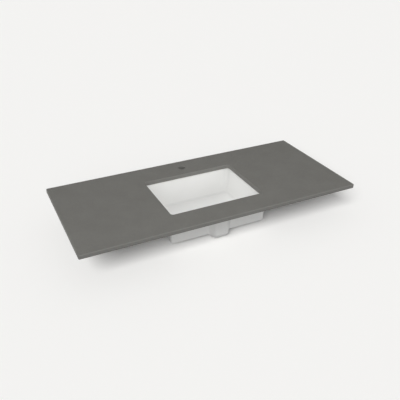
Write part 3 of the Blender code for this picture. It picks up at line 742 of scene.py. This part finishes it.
def clip_blocks():
    """Strap clip: a flat plate with a slot, bent up at its heel.

    With s along the strap from the toe and n off its middle plane, the bend turns by
    f = (s - L1) / r, held between 0 and a quarter turn: x = toe - min(s, L1) - (r - n) sin f
    and z = middle + r - (r - n) cos f + what is left of s after the bend.
    """
    bend = CLIP_BEND_RADIUS + CLIP_THICKNESS / 2
    middle = CLIP_TOP - CLIP_THICKNESS / 2
    flat = CLIP_TOE - (CLIP_HEEL + CLIP_THICKNESS / 2 + bend)
    length = flat + bend * math.pi / 2 - CLEARANCE - (middle + bend)
    outline, _ = rounded_rectangle(
        length, CLIP_WIDTH, CLIP_CORNER_RADIUS, (length / 2, 0), CLIP_CORNER_CELLS, CLIP_SIDE_CELLS
    )
    travel, radius = CLIP_SLOT_LENGTH / 2 - CLIP_SLOT_RADIUS, CLIP_SLOT_RADIUS
    turn = swept(-90, 90, CLIP_SLOT_CELLS)
    end = rows_of(travel + radius * np.cos(turn), radius * np.sin(turn))
    slot = np.vstack([end, -end])[::-1] + (CLIP_TOE, 0)
    past, inset = 0.0008, 0.0015  # inner points: beyond the bend, and in from the strap's sides
    along = np.linspace(flat - past, flat + bend * math.pi / 2 + past, CLIP_INNER_CELLS + 1)
    across = np.linspace(inset - CLIP_WIDTH / 2, CLIP_WIDTH / 2 - inset, CLIP_INNER_CELLS + 1)
    inside = np.stack(np.meshgrid(along, across), axis=-1).reshape(-1, 2)
    blocks = []
    for points, faces in plate(outline, CLIP_THICKNESS, CLIP_RIM, (slot,), inside):
        s, side, off = points.T
        turn = np.clip((s - flat) / bend, 0, math.pi / 2)
        rest = np.clip(s - flat - bend * math.pi / 2, 0, None)
        x = CLIP_TOE - np.minimum(s, flat) - (bend - off) * np.sin(turn)
        z = middle + bend - (bend - off) * np.cos(turn) + rest
        blocks.append((rows_of(x, side, z), faces))
    return blocks


def ear_blocks():
    """Both ears of a wing nut: a round tip joined to the hub by two curves that leave the tip
    straight on. An ear is a plate that thins from its root to its tip."""
    tip, radius = np.array(EAR_TIP), EAR_TIP_RADIUS
    turn = swept(60, -120, EAR_ARC_CELLS)
    arc = tip + radius * rows_of(np.cos(turn), np.sin(turn))
    leave = EAR_LEAVE * np.array([math.sin(turn[0]), -math.cos(turn[0])])
    upper = curve((EAR_ROOT, EAR_ROOT_TOP), arc[0] - leave, arc[0], EAR_CURVE_CELLS)
    lower = curve(arc[-1], arc[-1] - leave, (EAR_ROOT, EAR_ROOT_FOOT), EAR_CURVE_CELLS)
    outline = np.vstack([upper[:-1], arc, lower[1:]])[::-1]
    ears = []
    for points, faces in plate(outline, EAR_THICKNESS, EAR_RIM):
        x, z, off = points.T
        off = off * (EAR_AT_ROOT - EAR_THINNING * (x - EAR_ROOT) / (tip[0] + radius - EAR_ROOT))
        ears += [(rows_of(x, off, z), faces), (rows_of(-x, -off, z), faces)]
    return ears


def wing_blocks():
    """Wing nut: a coned hub with a plain bore, as one closed section, and two ears."""
    inner, mouth, collar = STUD_RADIUS + CLEARANCE, NUT_MOUTH_RADIUS, NUT_COLLAR_RADIUS
    line = rounded_line(
        [(mouth, 0), (collar, 0), (collar, -NUT_COLLAR_HEIGHT), (NUT_FOOT_RADIUS, -NUT_HEIGHT),
         (inner, -NUT_HEIGHT), (inner, 0), (mouth, 0)],
        NUT_ROUNDS, NUT_ROUND_CELLS,
    )
    hub = grid(lathed(line[:-1], around(NUT_CELLS)), loop_rows=True)
    return shifted([hub, *ear_blocks()], (0, 0, NUT_TOP))


# Finishes

# Where each thing starts and is full: noise, and how much of a face's look is upwards
CLOUD_ENDS, FILM_CLOUD_ENDS, FILM_CLOUD_DETAIL = (0.3, 0.7), (0.35, 0.7), 4.0
FILM_UP, UPRIGHT_UP, BEND_UPS = (0.2, 1.0), (0.98, 0.75), ((0.35, 0.60), (0.995, 0.85))
PAINTED_SHADE_REACH = 0.030  # over which the painted shade grows darker towards a corner
COLOUR_MIX_INPUTS, COLOUR_MIX_OUTPUT = (0, 6, 7), 2  # share and the two colours; the result


def put(tree, kind, inputs=(), **settings):
    """The outputs of a new node with its settings. Each input is set, or joined to a socket."""
    node = tree.nodes.new(kind)
    for name, value in settings.items():
        setattr(node, name, value)
    for key, value in dict(inputs).items():
        if isinstance(value, bpy.types.NodeSocket):
            tree.links.new(value, node.inputs[key])
        else:
            node.inputs[key].default_value = value
    return node.outputs


def worked(tree, operation, *values):
    """The result of a Math node."""
    return put(tree, "ShaderNodeMath", enumerate(values), operation=operation)[0]


def spread(tree, value, none, full, low=0.0, high=1.0, **settings):
    """A value's way from none to full, laid out between low and high."""
    ends = {"From Min": none, "From Max": full, "To Min": low, "To Max": high}
    return put(tree, "ShaderNodeMapRange", {"Value": value, **ends}, **settings)["Result"]


def face_way(tree):
    """The way a face looks, and how much of that is upwards."""
    normal = put(tree, "ShaderNodeNewGeometry")["Normal"]
    return normal, put(tree, "ShaderNodeSeparateXYZ", {"Vector": normal})["Z"]


def noise(tree, given, detail):
    """Cloudy noise of some detail at a group's Vector and Scale."""
    inputs = {"Vector": given["Vector"], "Scale": given["Scale"], "Detail": detail}
    return put(tree, "ShaderNodeTexNoise", inputs)["Fac"]


def group(name, work, *inputs):
    """A node group that gives what work makes of its inputs: numbers, and a Vector."""
    tree = bpy.data.node_groups.new(name, "ShaderNodeTree")
    for socket in inputs:
        kind = "NodeSocketVector" if socket == "Vector" else "NodeSocketFloat"
        tree.interface.new_socket(socket, in_out="INPUT", socket_type=kind)
    tree.interface.new_socket("Result", in_out="OUTPUT", socket_type="NodeSocketFloat")
    given = put(tree, "NodeGroupInput")
    put(tree, "NodeGroupOutput", {"Result": work(tree, given)})
    return tree


def mottle_value(tree, given):
    """Cloudy variation about Low to High: noise, stretched and not cut off, so that a bump
    made of it has no creases."""
    cloud = noise(tree, given, given["Detail"])
    return spread(tree, cloud, *CLOUD_ENDS, given["Low"], given["High"], clamp=False)


def speck_mask(tree, given):
    """Small grit: cells of a Voronoi pattern, kept where the cell's own random number is
    under Share, and shown within Size of the cell's point."""
    inputs = {"Vector": given["Vector"], "Scale": given["Scale"]}
    cells = put(tree, "ShaderNodeTexVoronoi", inputs)
    own = put(tree, "ShaderNodeSeparateColor", {"Color": cells["Color"]})["Red"]
    chosen = worked(tree, "LESS_THAN", own, given["Share"])
    near = spread(tree, cells["Distance"], given["Size"], 0.0, interpolation_type="SMOOTHSTEP")
    return worked(tree, "MULTIPLY", near, chosen)


def film_mask(tree, given):
    """A thin film on faces that look up, broken by cloudy noise."""
    up = spread(tree, face_way(tree)[1], *FILM_UP)
    cloud = spread(tree, noise(tree, given, FILM_CLOUD_DETAIL), *FILM_CLOUD_ENDS)
    return worked(tree, "MULTIPLY", worked(tree, "MULTIPLY", up, cloud), given["Amount"])


def painted_edge_light_mask(tree, given):
    """Painted light: how far a face stands upright, times Amount, 0 on level faces, full on
    walls and on the steeper part of the rounds that lead to them."""
    level = worked(tree, "ABSOLUTE", face_way(tree)[1])
    return spread(tree, level, *UPRIGHT_UP, 0.0, given["Amount"])


def painted_shade_mask(tree, given):
    """Painted shade of the bowl, darker in its four upright corners and in the bend
    between its walls and its floor.

    A corner is where a point lies near an end wall and a side wall, both of which lean in
    with depth. The bend is where a face is neither upright nor level. Both count only on
    faces that look at the bowl's middle.
    """
    normal, up = face_way(tree)
    own = put(tree, "ShaderNodeVectorMath", {
        0: given["Vector"], 1: (0, CUTOUT_MIDDLE, BASIN_TOP)}, operation="SUBTRACT")[0]
    parts = put(tree, "ShaderNodeSeparateXYZ", {"Vector": own})
    corner, bend = given["Corner"], given["Bend"]
    for axis, half, draft in (
        ("X", RIM_LENGTH / 2, BOWL_DRAFTS[0]), ("Y", RIM_WIDTH / 2, BOWL_DRAFTS[2])
    ):
        away = worked(tree, "ABSOLUTE", parts[axis])
        at_rim = worked(tree, "MULTIPLY_ADD", parts["Z"], -draft / BOWL_DEPTH, away)
        near = spread(tree, at_rim, half - PAINTED_SHADE_REACH, half, interpolation_type="SMOOTHSTEP")
        corner = worked(tree, "MULTIPLY", corner, near)
    for ends in BEND_UPS:
        leaning = spread(tree, up, *ends, interpolation_type="SMOOTHSTEP")
        bend = worked(tree, "MULTIPLY", bend, leaning)
    look = put(tree, "ShaderNodeVectorMath", {0: own, 1: normal}, operation="DOT_PRODUCT")
    inward = worked(tree, "LESS_THAN", look["Value"], 0.0)
    return worked(tree, "MULTIPLY", worked(tree, "MAXIMUM", corner, bend), inward)


MOTTLE = group("mottle", mottle_value, "Vector", "Scale", "Detail", "Low", "High")
SPECKS = group("grit_specks", speck_mask, "Vector", "Scale", "Size", "Share")
FILM = group("settled_film", film_mask, "Vector", "Scale", "Amount")
# painted light: upright faces are made paler
PAINTED_EDGE_LIGHT = group("upright", painted_edge_light_mask, "Amount")
# painted shade: the bowl's upright corners and its wall-to-floor bend are darkened
PAINTED_SHADE = group("painted_corner_shade", painted_shade_mask, "Vector", "Corner", "Bend")


def use(tree, shared, **inputs):
    """The result of a shared group with its inputs."""
    return put(tree, "ShaderNodeGroup", inputs, node_tree=shared)[0]


def clouds(tree, at, scale, detail, low=0.0, high=1.0):
    """Cloudy noise over a piece, from low to high."""
    return use(tree, MOTTLE, Vector=at, Scale=scale, Detail=detail, Low=low, High=high)


def specks(tree, at, scale, size, share):
    """Small spots over a piece."""
    return use(tree, SPECKS, Vector=at, Scale=scale, Size=size, Share=share)


def layered(tree, colour, *layers):
    """A colour with others laid over it, each as far as its mask says."""
    colour = (*colour, 1.0)
    for mask, over in layers:
        inputs = zip(COLOUR_MIX_INPUTS, (mask, colour, (*over, 1.0)))
        colour = put(tree, "ShaderNodeMix", inputs, data_type="RGBA")[COLOUR_MIX_OUTPUT]
    return colour


def new_material(name):
    """A material, its tree, its shader and the place of a point on the piece."""
    made = bpy.data.materials.new(name)
    made.use_nodes = True
    tree = made.node_tree
    place = put(tree, "ShaderNodeTexCoord")["Object"]
    return made, tree, tree.nodes["Principled BSDF"], place


def to_shader(tree, shader, colour, rough, height, strength, distance):
    """Joins a colour, a roughness and a bump of some height to the shader."""
    tree.links.new(colour, shader.inputs["Base Color"])
    tree.links.new(rough, shader.inputs["Roughness"])
    inputs = {"Height": height, "Strength": strength, "Distance": distance}
    tree.links.new(put(tree, "ShaderNodeBump", inputs)["Normal"], shader.inputs["Normal"])


def stone_finish():
    """Honed engineered stone: grey resin with faint clouds, a fine grain, and dark and light
    grit. Its upright edges and their arrises are painted a shade paler, as painted light."""
    made, tree, shader, at = new_material("grey_stone")
    grain = clouds(tree, at, 900.0, 2.0, high=0.35)
    colour = layered(
        tree, (0.129, 0.127, 0.116),
        (clouds(tree, at, 14.0, 4.0), (0.143, 0.141, 0.130)),
        (grain, (0.210, 0.205, 0.192)),
        (specks(tree, at, 620.0, 0.42, 0.30), (0.080, 0.078, 0.073)),
        (specks(tree, at, 340.0, 0.30, 0.10), (0.270, 0.265, 0.250)),
        # painted light: upright edges and arrises paler than the top
        (use(tree, PAINTED_EDGE_LIGHT, Amount=0.39), (0.300, 0.296, 0.280)),
    )
    rough = clouds(tree, at, 60.0, 4.0, 0.52, 0.64)
    shader.inputs["Specular IOR Level"].default_value = 0.10
    to_shader(tree, shader, colour, rough, grain, 0.10, 0.0002)
    return made


def china_finish():
    """Vitreous china: milky body under a glaze that lies in very shallow ripples, with painted
    shade in the bowl's corners and bend, and a thin film on what looks up."""
    made, tree, shader, at = new_material("white_china")
    colour = layered(
        tree, (0.815, 0.815, 0.800),
        (clouds(tree, at, 6.0, 2.0), (0.835, 0.835, 0.820)),
        # painted shade: greyer in the bowl's corners and its wall-to-floor bend
        (use(tree, PAINTED_SHADE, Vector=at, Corner=1.0, Bend=0.6), (0.72, 0.72, 0.705)),
        (use(tree, FILM, Vector=at, Scale=18.0, Amount=0.06), (0.76, 0.755, 0.73)),
    )
    rough, ripple = clouds(tree, at, 25.0, 3.0, 0.30, 0.36), clouds(tree, at, 70.0, 1.0)
    shader.inputs["Specular IOR Level"].default_value = 0.3
    to_shader(tree, shader, colour, rough, ripple, 0.08, 0.0004)
    return made


def silicone_finish():
    """Clear silicone: milky, and dull where it was smoothed."""
    made, tree, shader, at = new_material("clear_silicone")
    milk, rough = clouds(tree, at, 40.0, 3.0), clouds(tree, at, 90.0, 2.0, 0.38, 0.52)
    colour = layered(tree, (0.70, 0.70, 0.67), (milk, (0.78, 0.78, 0.75)))
    to_shader(tree, shader, colour, rough, milk, 0.15, 0.0003)
    return made


def metal_finish(name, bright, dull, stain, rough_low, rough_high):
    """Metal with brushed cloudiness and spots where its surface has dulled."""
    made, tree, shader, at = new_material(name)
    cloud, spots = clouds(tree, at, 160.0, 5.0), specks(tree, at, 420.0, 0.5, 0.18)
    colour = layered(tree, bright, (cloud, dull), (spots, stain))
    rough = clouds(tree, at, 300.0, 3.0, rough_low, rough_high)
    shader.inputs["Metallic"].default_value = 1.0
    to_shader(tree, shader, colour, rough, cloud, 0.12, 0.0002)
    return made


# Room, lamps and camera

FLOOR_SEEN, FLOOR_PLAIN = (0.955, 0.950, 0.935, 1), (0.30, 0.30, 0.30, 1)
FLOOR_HALF, FLOOR_GAP = 30.0, 0.0004
BACKDROP, BACKDROP_SEEN, BACKDROP_IN_GLOSS = (0.96, 0.955, 0.94, 1), 0.93, 0.35
# Soft lamps far away: where the light comes from (0 is the front, 90 the right), its height,
# its apparent breadth in degrees, and its share of the light on a level face
FLOOR_LAMPS = (
    ("floor_key", 320, 37, 32, 0.735),
    ("floor_sky", 0, 90, 180, 0.210),
    ("floor_low_key", 340, 25, 32, 0.055),
)
PIECE_LAMPS = (
    ("back_high", 180, 55, 40, 0.249),
    ("left_front", 280, 30, 40, 0.112),
    ("left_back", 240, 30, 40, 0.073),
    ("right_front", 40, 30, 40, 0.066),
    ("right", 80, 30, 40, 0.057),
    ("front_low", 340, 12, 40, 0.070),
)
FLOOR_LIGHT, PIECE_LIGHT = 0.944, 1.015
# One large round lamp nearer the basin: turn, height, distance, breadth in metres and share
SOFTBOX = (352, 60, 2.5, 2.2, 0.405)
SOFTBOX_AIM = (0, -0.26, 0)
CAMERA_PLACE, CAMERA_DOWN, CAMERA_TURN = (-0.88534, -2.06481, 1.09145), 0.5159283, -0.4525961
SENSOR_WIDTH, LENS, FAR = 36.0, 46.411, 200.0


def floor_finish():
    """Pale floor: bright to the camera and in reflections, plainer to the light it passes on,
    and open to a camera below it, so that the top can be looked at from underneath."""
    made, tree = new_material("studio_floor")[:2]
    tree.nodes.clear()
    rays = put(tree, "ShaderNodeLightPath")
    seen = worked(tree, "MAXIMUM", rays["Is Camera Ray"], rays["Is Glossy Ray"])
    seen = worked(tree, "MAXIMUM", seen, rays["Is Transmission Ray"])
    back = put(tree, "ShaderNodeNewGeometry")["Backfacing"]
    below = worked(tree, "MULTIPLY", back, rays["Is Camera Ray"])
    plain = put(tree, "ShaderNodeBsdfDiffuse", {"Color": FLOOR_PLAIN})[0]
    bright = put(tree, "ShaderNodeBsdfDiffuse", {"Color": FLOOR_SEEN})[0]
    clear = put(tree, "ShaderNodeBsdfTransparent")[0]
    both = put(tree, "ShaderNodeMixShader", {0: seen, 1: plain, 2: bright})[0]
    shown = put(tree, "ShaderNodeMixShader", {0: below, 1: both, 2: clear})[0]
    put(tree, "ShaderNodeOutputMaterial", {"Surface": shown})
    return made


def hold(name, lamp, turn, height, place, lit):
    """Puts a lamp in the scene, turned to shine from its side and height on some objects only."""
    held = added(name, lamp)
    held.location = place
    held.rotation_euler = (math.radians(90 - height), 0, math.radians(turn))
    held.light_linking.receiver_collection = lit


def build_lamps(floor):
    """Lamps for the floor alone, which gives the shadow, and softer ones for the pieces.

    A lamp that shines from height h and gives a level face the share s of full light has
    the strength s * pi / sin(h). A round lamp at distance d has s * pi^2 * d^2 / sin(h).
    """
    floor_alone = bpy.data.collections.new("floor_alone")
    floor_alone.objects.link(floor)
    all_but_floor = bpy.data.collections.new("all_but_floor")
    all_but_floor.objects.link(floor)
    all_but_floor.collection_objects[0].light_linking.link_state = "EXCLUDE"
    for table, light, lit in (
        (FLOOR_LAMPS, FLOOR_LIGHT, floor_alone),
        (PIECE_LAMPS, PIECE_LIGHT, all_but_floor),
    ):
        for name, turn, height, breadth, share in table:
            lamp = bpy.data.lights.new(name, "SUN")
            lamp.angle = math.radians(breadth)
            lamp.energy = light * share * math.pi / math.sin(math.radians(height))
            hold(name, lamp, turn, height, (0, 0, 0), lit)
    turn, height, distance, breadth, share = SOFTBOX
    rise = math.radians(height)
    way = turned(math.cos(rise), math.radians(turn - 90), math.sin(rise))
    lamp = bpy.data.lights.new("softbox", "AREA")
    lamp.shape = "DISK"
    lamp.size = breadth
    lamp.energy = PIECE_LIGHT * share * math.pi**2 * distance**2 / math.sin(rise)
    hold("softbox", lamp, turn, height, way * distance + SOFTBOX_AIM, all_but_floor)


def build_room():
    """A wide level floor just below the top's lowest point, and the lamps."""
    low = cad_box[0][2] - FLOOR_GAP
    corners = np.array([(-1, -1), (1, -1), (1, 1), (-1, 1)]) * FLOOR_HALF
    mesh = bpy.data.meshes.new("floor")
    mesh.from_pydata(np.insert(corners, 2, low, axis=1).tolist(), [], [(0, 1, 2, 3)])
    mesh.materials.append(floor_finish())
    floor = added("floor", mesh)
    build_lamps(floor)


def build_world():
    """Dark to the light it casts, pale to the camera and to reflections."""
    world = bpy.data.worlds.new("studio")
    bpy.context.scene.world = world
    world.use_nodes = True
    tree = world.node_tree
    rays = put(tree, "ShaderNodeLightPath")
    gloss = worked(tree, "MULTIPLY", rays["Is Glossy Ray"], BACKDROP_IN_GLOSS)
    seen = worked(tree, "MULTIPLY", rays["Is Camera Ray"], BACKDROP_SEEN)
    back = tree.nodes["Background"]
    back.inputs["Color"].default_value = BACKDROP
    tree.links.new(worked(tree, "MAXIMUM", gloss, seen), back.inputs["Strength"])


def build_camera():
    """The photograph's camera: its turn is from the wall, and it looks down from level."""
    lens = bpy.data.cameras.new("camera")
    lens.sensor_width, lens.lens, lens.clip_end = SENSOR_WIDTH, LENS, FAR
    camera = added("camera", lens)
    camera.location = CAMERA_PLACE
    camera.rotation_euler = (math.pi / 2 - CAMERA_DOWN, 0, CAMERA_TURN)
    bpy.context.scene.camera = camera


def main():
    bpy.context.scene.view_settings.view_transform = "Standard"
    build_camera()
    build_room()
    build_world()
    finishes = {
        "grey_stone": stone_finish(),
        "white_china": china_finish(),
        "clear_silicone": silicone_finish(),
        "brass": metal_finish(
            "brass", (0.66, 0.50, 0.24), (0.52, 0.38, 0.17), (0.42, 0.30, 0.15), 0.31, 0.42
        ),
        "zinc_steel": metal_finish(
            "zinc_steel", (0.64, 0.65, 0.67), (0.50, 0.51, 0.53), (0.42, 0.42, 0.43), 0.33, 0.46
        ),
    }
    places = set_places()
    for name, node, blocks, slot in (
        ("stone_slab", "stone_top", slab_blocks(places), "grey_stone"),
        ("china_basin", "basin", basin_blocks(), "white_china"),
        ("silicone_bead", "rim_sealant", bead_blocks(), "clear_silicone"),
    ):
        dress(joined(name, blocks), finishes[slot], node)
    fixings = (
        ("threaded_insert", "anchor", insert_blocks(), "brass"),
        ("threaded_stud", "stud", stud_blocks(), "zinc_steel"),
        ("strap_clip", "clip", clip_blocks(), "zinc_steel"),
        ("plain_washer", "washer", washer_blocks(), "zinc_steel"),
        ("wing_nut_body", "wing_nut", wing_blocks(), "brass"),
    )
    for index, place in enumerate(places, start=1):
        for name, node, blocks, slot in fixings:
            mesh = joined(f"{name}_{index}", placed(blocks, place))
            dress(mesh, finishes[slot], f"{node}_{index}")


main()
